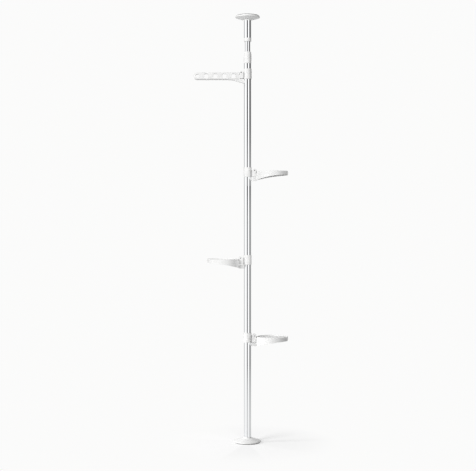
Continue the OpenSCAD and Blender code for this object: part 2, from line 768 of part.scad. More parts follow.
// Round tray: a ribbed shell with a dish on top, a skirt that deepens to the hinge, tongue and heel
module tray() {
    floor_z = tray_top - dish_depth;
    dish_r = tray_r - dish_rim_w;
    groove_step = dish_r / (drip_grooves + 1);
    difference() {
        intersection() {
            union() {
                translate([tray_mid_x, 0, 0]) rotate_extrude() polygon(concat(
                    [[0, -CUT], [tray_r, -CUT]],
                    arc(tray_r - rim_edge_r, tray_top - rim_edge_r, rim_edge_r, 0, 90, STEPS / 2),
                    [[0, tray_top]]
                ));
                translate([0, 0, -CUT]) linear_extrude(height = CUT + tray_top - rim_edge_r) tray_plan();
            }
            skirt_wedge();
        }
        translate([tray_mid_x, 0, floor_z]) cylinder(r = dish_r, h = dish_depth + OVER);
        for (i = [1 : drip_grooves]) translate([tray_mid_x, 0, floor_z - drip_depth]) difference() {
            cylinder(r = i * groove_step + drip_w / 2, h = dish_depth);
            translate([0, 0, -OVER]) cylinder(r = i * groove_step - drip_w / 2, h = CUT);
        }
        difference() {
            translate([0, 0, -CUT]) linear_extrude(height = CUT + floor_z - tray_floor_t) tray_plan(skirt_t);
            tray_ribs();
            tray_heel();
        }
    }
}

// A tray with its tongue and heel
module folding_tray() {
    difference() {
        union() {
            tray();
            tray_heel();
            tongue(tray_pin_x, tray_pin_z, tray_ear_r, tray_neck_x, tray_top);
        }
        tongue_cuts(tray_pin_x, tray_pin_z);
    }
}

arm_mid_z = arm_top - arm_h / 2;
nose_x = arm_reach - nose_len;

// A bullet nose seen from the side, drawn in by a wall
module nose(wall) {
    polygon([for (i = [-3 * STEPS : 3 * STEPS]) let (a = 90 * i / (3 * STEPS))
        [nose_x + (nose_len - wall) * cos(a), arm_mid_z + (arm_h / 2 + arm_cross - wall) * sin(a)]]);
}

// Outline of one opening in the arm, seen from the side
module hole_outline(x) {
    flat_w = hole_w / 2 - hole_corner_r;
    flat_h = hole_h / 2 - hole_corner_r;
    translate([x, arm_mid_z]) union() {
        square([hole_w, 2 * flat_h], center = true);
        square([2 * flat_w, hole_h], center = true);
        for (sx = [-1, 1]) for (sy = [-1, 1]) translate([sx * flat_w, sy * flat_h]) circle(r = hole_corner_r);
    }
}

// Height of the gusset's lower edge at a distance from the pole
function gusset_z(x) = arm_top - arm_h
    - (arm_heel_bottom - arm_h + arm_top) * pow((gusset_reach - x) / (gusset_reach - tube_r), gusset_power);

// The arm's bar: its side, front and top outlines cut from each other, which rounds every long edge
module bar() {
    flat_t = arm_t / 2 - arm_edge_r;
    flat_h = arm_h / 2 - arm_edge_r;
    plan_r = arm_t / 2 + arm_cross;
    intersection() {
        slab(CUT) union() {
            translate([arm_face_x, arm_mid_z - arm_h]) square([nose_x - arm_face_x, 2 * arm_h]);
            nose(0);
        }
        translate([0, 0, arm_mid_z]) rotate([90, 0, 90]) linear_extrude(height = 2 * arm_reach) union() {
            square([arm_t, 2 * flat_h], center = true);
            square([2 * flat_t, arm_h], center = true);
            for (sx = [-1, 1]) for (sy = [-1, 1])
                translate([sx * flat_t, sy * flat_h]) circle(r = arm_edge_r);
        }
        translate([0, 0, -CUT / 2]) linear_extrude(height = CUT) union() {
            translate([0, -plan_r]) square([arm_reach - plan_r, 2 * plan_r]);
            translate([arm_reach - plan_r, 0]) circle(r = plan_r);
        }
    }
}

// Gusset and heel of the arm in one piece, seen from the side
module gusset() {
    heel_top = -(arm_collar_h / 2 + free_gap + lip_h + heel_gap);
    steps = 2 * STEPS;
    start_x = tube_r + heel_bevel;
    slab(gusset_t) polygon(concat(
        [[gusset_reach, heel_top], [tube_r - heel_bevel, heel_top]],
        [[tube_r - heel_bevel, heel_bevel - arm_heel_bottom], [tube_r, heel_bevel - arm_heel_bottom]],
        [for (i = [0 : steps]) let (x = start_x + (gusset_reach - start_x) * i / steps) [x, gusset_z(x)]]
    ));
}

// The whole arm: bar, gusset and tongue, with a row of openings and a shaped one in the nose
module arm_shape() {
    difference() {
        union() {
            bar();
            gusset();
            tongue(arm_pin_x, arm_pin_z, arm_ear_r, arm_face_x, arm_top);
        }
        for (i = [1 : arm_holes - 1])
            slab(CUT) hole_outline(arm_reach - nose_hole_x - i * hole_pitch);
        slab(CUT) intersection() {
            hole_outline(arm_reach - nose_hole_x);
            union() {
                nose(nose_wall);
                translate([nose_x - hole_w, arm_mid_z - arm_h / 2]) square([hole_w, arm_h]);
            }
        }
        tongue_cuts(arm_pin_x, arm_pin_z);
    }
}

module arm_grip() {
    color("white") at(arm_z, BACK) grip(arm_collar_h);
}

module arm_collar() {
    color("white") at(arm_z, BACK) collar(arm_collar_h);
}

module arm_knuckle() {
    color("white") at(arm_z, BACK) knuckle(arm_pin_x, arm_pin_z, arm_ear_r);
}

module arm_pin() {
    color("silver") at(arm_z, BACK) pin(arm_pin_x, arm_pin_z);
}

module hanging_arm() {
    color("white") at(arm_z, BACK) arm_shape();
}

// The five pieces of a tray's bracket
module tray_grip(z, turn) {
    color("white") at(z, turn) grip(tray_collar_h);
}

module tray_collar(z, turn) {
    color("white") at(z, turn) collar(tray_collar_h);
}

module tray_knuckle(z, turn) {
    color("white") at(z, turn) knuckle(tray_pin_x, tray_pin_z, tray_ear_r);
}

module tray_pin(z, turn) {
    color("silver") at(z, turn) pin(tray_pin_x, tray_pin_z);
}

module tray_body(z, turn) {
    color("white") at(z, turn) folding_tray();
}

floor_pad();
floor_foot();
lower_tube();
middle_tube();
upper_tube();
lower_coupler();
upper_coupler();
lock_collet();
lock_nut();
extension_rod();
rod_guide();
spring_seat();
head_spring();
sleeve_bush();
spring_sleeve();
ceiling_pad();
ceiling_rubber();
arm_grip();
arm_collar();
arm_knuckle();
arm_pin();
hanging_arm();
tray_grip(upper_z, OUT);  // upper_grip
tray_collar(upper_z, OUT);  // upper_collar
tray_knuckle(upper_z, OUT);  // upper_knuckle
tray_pin(upper_z, OUT);  // upper_pin
tray_body(upper_z, OUT);  // upper_tray
tray_grip(middle_z, BACK);  // middle_grip
tray_collar(middle_z, BACK);  // middle_collar
tray_knuckle(middle_z, BACK);  // middle_knuckle
tray_pin(middle_z, BACK);  // middle_pin
tray_body(middle_z, BACK);  // middle_tray
tray_grip(lower_z, OUT);  // lower_grip
tray_collar(lower_z, OUT);  // lower_collar
tray_knuckle(lower_z, OUT);  // lower_knuckle
tray_pin(lower_z, OUT);  // lower_pin
tray_body(lower_z, OUT);  // lower_tray
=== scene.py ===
# %% [markdown]
# # A tension pole with folding trays
#
# This lesson dresses a floor-to-ceiling plant stand. The frame already holds every piece at its
# true size, and each piece belongs to a body that can move: the rod, the head, the collars, the
# trays. Blender adds what the frame has not got, which is finish. That is chrome that has something
# to reflect, moulded plastic with rounded edges, and a pale studio round it.
#
# The frame is loaded first.

# %% Load the frame
import json
import math

import bmesh
import bpy
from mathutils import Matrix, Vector


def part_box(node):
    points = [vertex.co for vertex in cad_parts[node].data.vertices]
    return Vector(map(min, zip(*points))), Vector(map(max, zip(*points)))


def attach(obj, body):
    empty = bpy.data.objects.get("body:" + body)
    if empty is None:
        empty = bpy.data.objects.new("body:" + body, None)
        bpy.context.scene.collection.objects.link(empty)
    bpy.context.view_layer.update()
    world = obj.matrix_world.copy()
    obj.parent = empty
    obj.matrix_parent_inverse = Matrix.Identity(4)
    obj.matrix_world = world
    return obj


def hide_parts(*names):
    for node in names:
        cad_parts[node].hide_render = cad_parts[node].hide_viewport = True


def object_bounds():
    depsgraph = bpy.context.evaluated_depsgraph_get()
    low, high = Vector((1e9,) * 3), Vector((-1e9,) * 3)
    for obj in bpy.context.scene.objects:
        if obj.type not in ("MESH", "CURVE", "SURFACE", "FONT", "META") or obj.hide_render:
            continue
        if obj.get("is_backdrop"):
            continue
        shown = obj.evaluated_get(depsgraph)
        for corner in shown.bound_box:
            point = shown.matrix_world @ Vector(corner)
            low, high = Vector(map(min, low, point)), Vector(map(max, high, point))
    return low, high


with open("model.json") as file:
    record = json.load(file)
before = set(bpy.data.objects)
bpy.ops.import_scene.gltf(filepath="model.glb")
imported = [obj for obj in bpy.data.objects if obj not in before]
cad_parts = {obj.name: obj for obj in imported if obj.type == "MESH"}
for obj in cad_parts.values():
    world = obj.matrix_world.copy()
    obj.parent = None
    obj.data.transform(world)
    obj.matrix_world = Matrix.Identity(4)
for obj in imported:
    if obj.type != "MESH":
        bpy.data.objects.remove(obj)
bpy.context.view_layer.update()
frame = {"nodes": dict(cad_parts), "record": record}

MM = 0.001

# %% [markdown]
# ## The camera
#
# The picture was taken from far back with the camera almost level with the middle of the pole. A
# long lens at a distance keeps the trays from looking tilted. The pole stands a few pixels right of
# the picture's middle, so the camera looks at a point just left of it. Aiming the camera does this
# without any lens shift, which matters because a shift would stay in every other view.

# %% Camera
IMAGE_W = 476
IMAGE_H = 471
MM_PER_PIXEL = 5.21
POLE_PIXEL_X = 247.6
FLOOR_PIXEL_Y = 442.55
EYE_HEIGHT = 1.13
EYE_DISTANCE = 5.217
SENSOR = 36.0

pixel = MM_PER_PIXEL * MM
aim_x = (IMAGE_W / 2 - POLE_PIXEL_X) * pixel
aim_z = (FLOOR_PIXEL_Y - IMAGE_H / 2) * pixel

scene = bpy.context.scene
scene.view_settings.view_transform = "Standard"
camera = bpy.data.objects.new("camera", bpy.data.cameras.new("camera"))
scene.collection.objects.link(camera)
scene.camera = camera
camera.location = (0, -EYE_DISTANCE, EYE_HEIGHT)
sight = Vector((aim_x, 0, aim_z)) - camera.location
camera.rotation_euler = sight.to_track_quat("-Z", "Y").to_euler()
camera.data.sensor_width = SENSOR
camera.data.lens = SENSOR * EYE_DISTANCE / (IMAGE_W * pixel)
camera.data.clip_end = 100
print("lens", round(camera.data.lens, 1), "mm")

# %% [markdown]
# ## Small helpers for materials
#
# A material is a tree of nodes, which is long to write out by hand. Three short helpers keep the
# trees readable: one adds a node and sets its values, one wires two sockets, and one starts a
# material.

# %% Nodes and wires
def node(tree, kind, **values):
    made = tree.nodes.new(kind)
    for key, value in values.items():
        if key in made.inputs:
            made.inputs[key].default_value = value
        else:
            setattr(made, key, value)
    return made


def wire(tree, source, output, target, socket):
    tree.links.new(source.outputs[output], target.inputs[socket])


def new_material(name, **values):
    material = bpy.data.materials.new(name)
    material.use_nodes = True
    shader = material.node_tree.nodes["Principled BSDF"]
    for key, value in values.items():
        shader.inputs[key.replace("_", " ")].default_value = value
    return material, material.node_tree, shader


print("helpers for nodes ready")

# %% [markdown]
# No real surface is even, so fine noise is laid over every piece. Each piece sits at the origin
# with its place in its mesh. The Object coordinate is therefore measured in metres on the real
# thing, and the grain has the same size on all of them.
#
# The other three helpers say what the noise does: it moves a number, moves the colour between two
# near tones, or lifts the surface. Noise seldom leaves the middle of its range, so only that middle
# is spread out.

# %% Grain
NOISE_LOW = 0.35
NOISE_HIGH = 0.65


def grain(tree, size, stretch=(1, 1, 1), detail=3.0):
    """Noise whose spots are about size metres across, drawn out along an axis by stretch."""
    place = node(tree, "ShaderNodeTexCoord")
    scaled = node(tree, "ShaderNodeMapping")
    scaled.inputs["Scale"].default_value = [1 / (size * s) for s in stretch]
    noise = node(tree, "ShaderNodeTexNoise", Scale=1.0, Detail=detail)
    wire(tree, place, "Object", scaled, "Vector")
    wire(tree, scaled, "Vector", noise, "Vector")
    return noise


def spread(tree, noise, low, high):
    """Maps noise to the range from low to high, for a socket that takes a number."""
    mapped = node(tree, "ShaderNodeMapRange")
    mapped.inputs["From Min"].default_value = NOISE_LOW
    mapped.inputs["From Max"].default_value = NOISE_HIGH
    mapped.inputs["To Min"].default_value = low
    mapped.inputs["To Max"].default_value = high
    wire(tree, noise, "Fac", mapped, "Value")
    return mapped


def tint(tree, noise, shader, dark, light):
    """Lets the base colour drift between two near tones."""
    ramp = node(tree, "ShaderNodeValToRGB")
    ramp.color_ramp.elements[0].position = NOISE_LOW
    ramp.color_ramp.elements[1].position = NOISE_HIGH
    ramp.color_ramp.elements[0].color = (*dark, 1)
    ramp.color_ramp.elements[1].color = (*light, 1)
    wire(tree, noise, "Fac", ramp, "Fac")
    wire(tree, ramp, "Color", shader, "Base Color")


def bump(tree, shader, *layers):
    """Stacks bumps. Each layer is (noise, depth in metres)."""
    before = None
    for noise, depth in layers:
        made = node(tree, "ShaderNodeBump", Strength=1.0, Distance=depth)
        wire(tree, noise, "Fac", made, "Height")
        if before:
            wire(tree, before, "Normal", made, "Normal")
        before = made
    wire(tree, before, "Normal", shader, "Normal")


print("noise spread out from", NOISE_LOW, "to", NOISE_HIGH)

# %% [markdown]
# ## Chrome
#
# Chrome has almost no colour of its own. What the eye reads as chrome is a sharp picture of the
# room, squeezed into stripes by the round tube. The shader is therefore a plain mirror with a
# little roughness, and the care goes into the studio further down. Three faint marks keep it from
# looking computed: polishing lines round the tube, a slow waviness from rolling the sheet, and
# patches where handling has dulled it.

# %% Chrome
CHROME = (0.91, 0.92, 0.93)
MIRROR, DULLED = 0.03, 0.07
POLISH_LINE = 0.25 * MM
POLISH_DEPTH = 0.0008 * MM
ROLL_WAVE = 60 * MM
ROLL_DEPTH = 0.02 * MM
HANDLED_PATCH = 25 * MM

chrome, tree, shader = new_material("polished_chrome", Metallic=1.0, Base_Color=(*CHROME, 1))
lines = grain(tree, POLISH_LINE, stretch=(40, 40, 1), detail=2.0)
waves = grain(tree, ROLL_WAVE, stretch=(0.5, 0.5, 3), detail=1.0)
patches = grain(tree, HANDLED_PATCH, stretch=(1, 1, 1.6), detail=4.0)
wire(tree, spread(tree, patches, MIRROR, DULLED), "Result", shader, "Roughness")
bump(tree, shader, (lines, POLISH_DEPTH), (waves, ROLL_DEPTH))
print("chrome made")

# %% [markdown]
# ## White moulded plastic
#
# The foot, the ceiling pad, the nut, the collars and the trays are injection moulded in white. Such
# plastic isn't a mirror and isn't chalk. It has a soft sheen from a mould that was blasted to a
# fine grain, and its white drifts a little with the wall thickness. The grain is a bump a few
# thousandths of a millimetre deep.

# %% White plastic
MOULD_GRAIN = 0.6 * MM
MOULD_GRAIN_DEPTH = 0.006 * MM
FLOW_MARK = 45 * MM
FLOW_MARK_DEPTH = 0.05 * MM
WHITE_THIN, WHITE_THICK = (0.835, 0.835, 0.83), (0.875, 0.875, 0.87)
WHITE_SHEEN = (0.30, 0.40)
SKIN, SKIN_ROUGHNESS = 0.15, 0.2


def moulded_white(name):
    made, tree, shader = new_material(name, IOR=1.49)
    shader.inputs["Coat Weight"].default_value = SKIN
    shader.inputs["Coat Roughness"].default_value = SKIN_ROUGHNESS
    fine = grain(tree, MOULD_GRAIN, detail=2.0)
    flow = grain(tree, FLOW_MARK, detail=3.0)
    tint(tree, flow, shader, WHITE_THIN, WHITE_THICK)
    wire(tree, spread(tree, flow, *WHITE_SHEEN), "Result", shader, "Roughness")
    bump(tree, shader, (fine, MOULD_GRAIN_DEPTH), (flow, FLOW_MARK_DEPTH))
    return made, tree, shader


white = moulded_white("white_moulded_plastic")[0]
print("white plastic made")

# %% [markdown]
# A knuckle hangs three millimetres off its collar, and the gap between them lies in shade. Its inner
# edge is painted with a grey line of shade, which the eye reads as the gap. The line is made from the
# distance to
#  the pole, so it is even and as thin as it should be.

# %% Painted gap shade at the knuckles
# The grey line is painted shade for the gap between knuckle and collar.
GAP_SHADE_INNER, GAP_SHADE_OUTER = 25.0 * MM, 27.2 * MM
GAP_SHADE_DARKEST = 0.55


def paint_shade_round_pole(tree, shader, inner, outer, darkest):
    """Paints shade into the colour: greys it out to the inner radius round the pole, and lets it
    clear by the outer one.
    """
    unshaded_colour = shader.inputs["Base Color"].links[0].from_socket
    place = node(tree, "ShaderNodeTexCoord")
    flat = node(tree, "ShaderNodeVectorMath", operation="MULTIPLY")
    flat.inputs[1].default_value = (1, 1, 0)
    wire(tree, place, "Object", flat, 0)
    radius = node(tree, "ShaderNodeVectorMath", operation="LENGTH")
    wire(tree, flat, "Vector", radius, 0)
    shade_fade_ramp = node(tree, "ShaderNodeMapRange")
    shade_fade_ramp.inputs["From Min"].default_value = inner
    shade_fade_ramp.inputs["From Max"].default_value = outer
    shade_fade_ramp.inputs["To Min"].default_value = darkest
    wire(tree, radius, "Value", shade_fade_ramp, "Value")
    painted_shade_mix = node(tree, "ShaderNodeMixRGB", blend_type="MULTIPLY", Fac=1.0)
    tree.links.new(unshaded_colour, painted_shade_mix.inputs["Color1"])
    wire(tree, shade_fade_ramp, "Result", painted_shade_mix, "Color2")
    wire(tree, painted_shade_mix, "Color", shader, "Base Color")


# This white carries the painted shade of the gap along each knuckle's inner edge.
knuckle_white_painted_shade, tree, shader = moulded_white("white_moulded_plastic_painted_gap_shade")
paint_shade_round_pole(tree, shader, GAP_SHADE_INNER, GAP_SHADE_OUTER, GAP_SHADE_DARKEST)
print("white with painted gap shade made")

# %% [markdown]
# The pieces inside the pole, and the collet under the nut, are nylon that was never coloured. It is
# the same idea as the white plastic in a warmer, duller tone.

# %% Inner nylon
NYLON_DARK, NYLON_LIGHT = (0.74, 0.73, 0.69), (0.82, 0.81, 0.77)
NYLON_GRAIN_DEPTH = 0.02 * MM

natural, tree, shader = new_material("natural_nylon", Roughness=0.5, IOR=1.53)
flow = grain(tree, FLOW_MARK, detail=3.0)
tint(tree, flow, shader, NYLON_DARK, NYLON_LIGHT)
bump(tree, shader, (grain(tree, MOULD_GRAIN), NYLON_GRAIN_DEPTH))
print("nylon made")

# %% [markdown]
# ## Rubber and steel
#
# The two discs that grip floor and ceiling are black rubber. It is dull and has a fine pitted skin,
# and dust settles on it in patches. One noise makes the pits, and a much wider one both greys the
# dusty patches and dulls them.

# %% Rubber
RUBBER_PIT = 0.4 * MM
RUBBER_PIT_DEPTH = 0.03 * MM
RUBBER_DUST = 18 * MM
RUBBER_CLEAN, RUBBER_DUSTY = (0.018, 0.018, 0.019), (0.04, 0.04, 0.041)
RUBBER_SHEEN = (0.62, 0.8)

rubber, tree, shader = new_material("black_rubber", IOR=1.52)
pits = grain(tree, RUBBER_PIT, detail=4.0)
dust = grain(tree, RUBBER_DUST, detail=4.0)
tint(tree, dust, shader, RUBBER_CLEAN, RUBBER_DUSTY)
wire(tree, spread(tree, dust, *RUBBER_SHEEN), "Result", shader, "Roughness")
bump(tree, shader, (pits, RUBBER_PIT_DEPTH))
print("rubber made")

# %% [markdown]
# The pins are turned steel, so their marks run round them. The spring is drawn wire, and the
# couplers are zinc plated, which gives a faintly mottled grey. All three are made in the same way
# and differ in colour, roughness and marks, so one function makes them.

# %% Steel
STAIN = 12 * MM
STAIN_DARK = 0.9
SMOOTHER, ROUGHER = 0.8, 1.25


def steel(name, colour, roughness, mark, stretch, depth):
    """Metal with marks of a size and depth in metres, drawn out along an axis by stretch."""
    made, tree, shader = new_material(name, Metallic=1.0)
    marks = grain(tree, mark, stretch=stretch, detail=3.0)
    stain = grain(tree, STAIN, detail=3.0)
    tint(tree, stain, shader, [c * STAIN_DARK for c in colour], colour)
    uneven = spread(tree, marks, roughness * SMOOTHER, roughness * ROUGHER)
    wire(tree, uneven, "Result", shader, "Roughness")
    bump(tree, shader, (marks, depth))
    return made


pin_steel = steel("turned_steel", (0.66, 0.66, 0.67), 0.24, 0.15 * MM, (20, 1, 20), 0.004 * MM)
spring_steel = steel("drawn_wire", (0.50, 0.50, 0.51), 0.3, 0.3 * MM, (1, 1, 1), 0.006 * MM)
coupler_steel = steel("zinc_plate", (0.60, 0.61, 0.62), 0.38, 0.5 * MM, (1, 1, 8), 0.008 * MM)
print("steels made")

# %% [markdown]
# ## Which piece has which finish
#
# The frame's record gives each piece a slot, which is the name of its finish, and lists the pieces
# of each body. Both lists are turned round here, so that a piece's name finds its slot and its
# body.

# %% Finishes
FINISH = {
    "chrome": chrome,
    "white_plastic": white,
    "inner_plastic": natural,
    "rubber": rubber,
    "coupler_steel": coupler_steel,
    "spring_steel": spring_steel,
    "pin_steel": pin_steel,
}
slot_of = {part["node"]: part["material_slot"] for part in frame["record"]["subparts"]}
bodies = frame["record"]["behaviour"]["bodies"]
body_of_node = {name: body for body, names in bodies.items() for name in names}
print("finishes", len(FINISH), "for", len(slot_of), "pieces")

# %% [markdown]
# ## Turned pieces
#
# Tubes, pads, nut and bush are all round about the pole. In the frame their curves are cut into
# short flats, which is enough to collide with but shows in a mirror. Each is turned again here from
# its own outline.
#
# A real edge is never quite sharp, so the outline's corners are rounded first. The function walks
# round the outline. At each corner it steps back along both sides and lays a curve that touches
# both.

# %% Round an outline
ROUND_STEPS = 6
SHORT_SIDE = 0.49


def rounded(points):
    """Outline with its corners rounded. A point is (radius, height, rounding), all in metres."""
    out = []
    count = len(points)
    for i, (x, z, r) in enumerate(points):
        here = Vector((x, z))
        if r <= 0:
            out.append(here)
            continue
        before = Vector(points[i - 1][:2]) - here
        after = Vector(points[(i + 1) % count][:2]) - here
        half = before.angle(after) / 2
        reach = min(r / math.tan(half), before.length * SHORT_SIDE, after.length * SHORT_SIDE)
        start = here + before.normalized() * reach
        end = here + after.normalized() * reach
        for k in range(ROUND_STEPS + 1):
            t = k / ROUND_STEPS
            out.append(start * (1 - t) ** 2 + here * 2 * t * (1 - t) + end * t ** 2)
    return out


print("a rounded corner takes", ROUND_STEPS, "steps")

# %% [markdown]
# The outline is then swept round the axis in fine steps, as a lathe would do it. A point on the
# axis stays a single one.

# %% Turn an outline
TURN_STEPS = 128
ON_AXIS = 1e-6
SHARP = math.radians(40)


def piece_from(mesh, name):
    """Makes an object of a bmesh, smooth but for its sharp edges."""
    data = bpy.data.meshes.new(name)
    mesh.to_mesh(data)
    mesh.free()
    data.shade_smooth()
    data.set_sharp_from_angle(angle=SHARP)
    made = bpy.data.objects.new(name, data)
    scene.collection.objects.link(made)
    return made


def turned(name, outline):
    """Sweeps a closed outline of (radius, height) points round the pole's axis."""
    mesh = bmesh.new()
    rings = []
    for x, z in outline:
        if x < ON_AXIS:
            rings.append([mesh.verts.new((0, 0, z))])
            continue
        angles = [2 * math.pi * k / TURN_STEPS for k in range(TURN_STEPS)]
        rings.append([mesh.verts.new((x * math.cos(a), x * math.sin(a), z)) for a in angles])
    for ring, other in zip(rings, rings[1:] + rings[:1]):
        for k in range(TURN_STEPS):
            corners = [ring[k % len(ring)], ring[(k + 1) % len(ring)]]
            corners += [other[(k + 1) % len(other)], other[k % len(other)]]
            face = list(dict.fromkeys(corners))
            if len(face) > 2:
                mesh.faces.new(face)
    bmesh.ops.recalc_face_normals(mesh, faces=mesh.faces)
    return piece_from(mesh, name)


print("a turn takes", TURN_STEPS, "steps")

# %% [markdown]
# A turned piece takes the place of one piece of the frame. It gets that piece's finish, rides on
# the same body, and hides it.

# %% Stand for a piece
def stands_for(made, name):
    """Gives a piece the finish, slot and body of the node that it replaces."""
    slot = slot_of[name]
    made.data.materials.append(FINISH[slot])
    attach(made, body_of_node[name])
    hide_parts(name)


print("ready to turn")

# %% [markdown]
# ## Tubes
#
# Three sections of tube, the rod and the head's sleeve are cut from the same kind of stock. Where
# two sections meet, each end is broken by a fine radius, so that the seam shows as a hairline when
# one comes close. The lowest section is let into the foot, down to the top of its cone.

# %% Tubes
TUBE_WALL = 1.2 * MM
END_ROUND = 0.4 * MM
LET_IN = {"lower_tube": 20.5 * MM}

for name in ("lower_tube", "middle_tube", "upper_tube", "extension_rod", "spring_sleeve"):
    low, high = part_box(name)
    outer = high.x
    bore = outer - TUBE_WALL
    start = low.z - LET_IN.get(name, 0)
    outline = rounded([
        (bore, start, END_ROUND), (outer, start, END_ROUND),
        (outer, high.z, END_ROUND), (bore, high.z, END_ROUND),
    ])
    stands_for(turned(name + "_turned", outline), name)
    print(name, "outer", round(outer * 2000, 1), "mm", "length", round((high.z - start) * 1000), "mm")

# %% [markdown]
# ## Foot and ceiling pad
#
# Both pads are the same moulding in two sizes: a rolled edge, a shallow cone, a fillet and a neck
# that the tube stands on. The cone and the edge are drawn as a line and an arc that touch, as in
# the frame, but in fine steps.

# %% Pad outline
PAD_EDGE = 3.5 * MM
PAD_FILLET = 2 * MM
PAD_WALL = 3 * MM
RUBBER_THICK = 5 * MM
RUBBER_PROUD = 2.5 * MM
RUBBER_RIM = 4 * MM
NECK_ROUND = 0.4 * MM
SPIGOT_ROUND = 1 * MM
PLAY = 0.05 * MM
TUBE_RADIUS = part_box("lower_tube")[1].x
PLUG_RADIUS = TUBE_RADIUS - TUBE_WALL - PLAY
ARC_STEPS = 24


def arc(x, z, r, start, end):
    """Points on an arc about (x, z), from one angle to another in degrees."""
    angles = [math.radians(start + (end - start) * k / ARC_STEPS) for k in range(ARC_STEPS + 1)]
    return [Vector((x + r * math.cos(a), z + r * math.sin(a))) for a in angles]


def pad_outline(radius, slope, neck_top, spigot):
    """Outline of a pad that stands on z = 0, with its neck and its spigot pointing up."""
    across, up = math.sin(math.radians(slope)), math.cos(math.radians(slope))
    edge_x, edge_z = radius - PAD_EDGE, RUBBER_PROUD + PAD_EDGE
    cone = across * edge_x + up * edge_z + PAD_EDGE
    fillet_z = (cone + PAD_FILLET - across * (TUBE_RADIUS + PAD_FILLET)) / up
    inner = PLUG_RADIUS - PAD_WALL
    edge = arc(edge_x, edge_z, PAD_EDGE, -90, 90 - slope)
    fillet = arc(TUBE_RADIUS + PAD_FILLET, fillet_z, PAD_FILLET, 270 - slope, 180)
    top = neck_top + spigot
    floor_z = RUBBER_THICK + PAD_WALL
    seat = radius - RUBBER_RIM
    neck = rounded([
        (TUBE_RADIUS, fillet_z, 0), (TUBE_RADIUS, neck_top, NECK_ROUND),
        (PLUG_RADIUS, neck_top, 0), (PLUG_RADIUS, top, SPIGOT_ROUND),
        (inner, top, SPIGOT_ROUND), (inner, floor_z, SPIGOT_ROUND),
        (0, floor_z, 0), (0, RUBBER_THICK, 0), (seat, RUBBER_THICK, 0), (seat, RUBBER_PROUD, 0),
    ])
    return edge + fillet + neck[1:]


print("tube", round(TUBE_RADIUS * 2000, 1), "mm, plug", round(PLUG_RADIUS * 2000, 1), "mm")

# %% [markdown]
# The foot is the larger of the two. Its neck ends at the top of the cone, where the lowest tube is
# let in.

# %% Foot
FOOT_SLOPE = 18

foot_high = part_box("floor_foot")[1]
foot_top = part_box("lower_tube")[0].z - LET_IN["lower_tube"]
outline = pad_outline(foot_high.x, FOOT_SLOPE, foot_top, foot_high.z - foot_top)
stands_for(turned("floor_foot_turned", outline), "floor_foot")
print("foot", round(foot_high.x * 2000), "mm")

# %% [markdown]
# The ceiling pad is the same outline upside down. Its heights are measured down from the ceiling.

# %% Ceiling pad
CEILING_SLOPE = 17
PAD_SPIGOT = 15 * MM

pad_low, pad_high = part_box("ceiling_pad")
ceiling_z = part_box("ceiling_rubber")[1].z
neck_height = ceiling_z - pad_low.z - PAD_SPIGOT
upright = pad_outline(pad_high.x, CEILING_SLOPE, neck_height, PAD_SPIGOT)
outline = [Vector((point.x, ceiling_z - point.y)) for point in upright]
stands_for(turned("ceiling_pad_turned", outline), "ceiling_pad")
print("ceiling pad", round(pad_high.x * 2000), "mm")

# %% [markdown]
# ## Twist nut and bush
#
# The nut is shaped like a tulip: it swells from the tube to a band that the hand grips, and closes
# over the rod in a quarter of an ellipse. Inside, it follows the collet that it squeezes.

# %% Nut
NUT_HEIGHT = 60.5 * MM
NUT_BAND_HEIGHT = 30.5 * MM
NUT_STRAIGHT = 5 * MM
NUT_BEVEL = 1.5 * MM
NUT_LIP = 1.2 * MM
NUT_SWELL_ROUND = 12 * MM
BEVEL_ROUND = 0.5 * MM
MOUTH_ROUND = 0.4 * MM
FOOT_ROUND = 0.3 * MM
GAP = 0.3 * MM
COLLET_RADIUS = 17 * MM
COLLET_BODY = 32 * MM
COLLET_TIP = 52 * MM
TIP_WALL = 1.2 * MM
ROD_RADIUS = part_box("extension_rod")[1].x

nut_low, nut_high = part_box("lock_nut")
belly = nut_high.x
mouth = ROD_RADIUS + 2 * GAP
lip = mouth + NUT_LIP
shoulder = NUT_HEIGHT - NUT_BAND_HEIGHT - GAP
outside = rounded([
    (COLLET_RADIUS, 0, 0), (TUBE_RADIUS, 0, FOOT_ROUND),
    (TUBE_RADIUS + GAP, NUT_BEVEL, BEVEL_ROUND),
    (belly, NUT_BAND_HEIGHT - NUT_STRAIGHT, NUT_SWELL_ROUND),
    (belly, NUT_BAND_HEIGHT, 0), (lip, NUT_HEIGHT, 0),
])[1:-1]
quarter = [math.pi / 2 * k / ARC_STEPS for k in range(1, ARC_STEPS + 1)]
crown = [
    Vector((lip + (belly - lip) * math.cos(a), NUT_BAND_HEIGHT + shoulder * math.sin(a)))
    for a in quarter
]
inside = rounded([
    (lip, NUT_HEIGHT - GAP, 0), (mouth, NUT_HEIGHT - GAP, MOUTH_ROUND),
    (mouth, COLLET_TIP + GAP, 0), (ROD_RADIUS + TIP_WALL + GAP, COLLET_TIP + GAP, 0),
    (COLLET_RADIUS + PLAY, COLLET_BODY, 0), (COLLET_RADIUS + PLAY, 0, FOOT_ROUND),
])[1:]
outline = [Vector((point.x, nut_low.z + point.y)) for point in outside + crown + inside]
stands_for(turned("lock_nut_turned", outline), "lock_nut")
print("nut", round((nut_high.z - nut_low.z) * 1000, 1), "mm tall")

# %% [markdown]
# The bush is a plain sleeve with a rounded lower edge. It runs on the rod, and its upper end sits
# in the head's sleeve.

# %% Bush
BUSH_HEIGHT = 18 * MM
BUSH_LOWER_ROUND = 3 * MM
BUSH_UPPER_ROUND = 0.4 * MM
BUSH_END_ROUND = 0.6 * MM

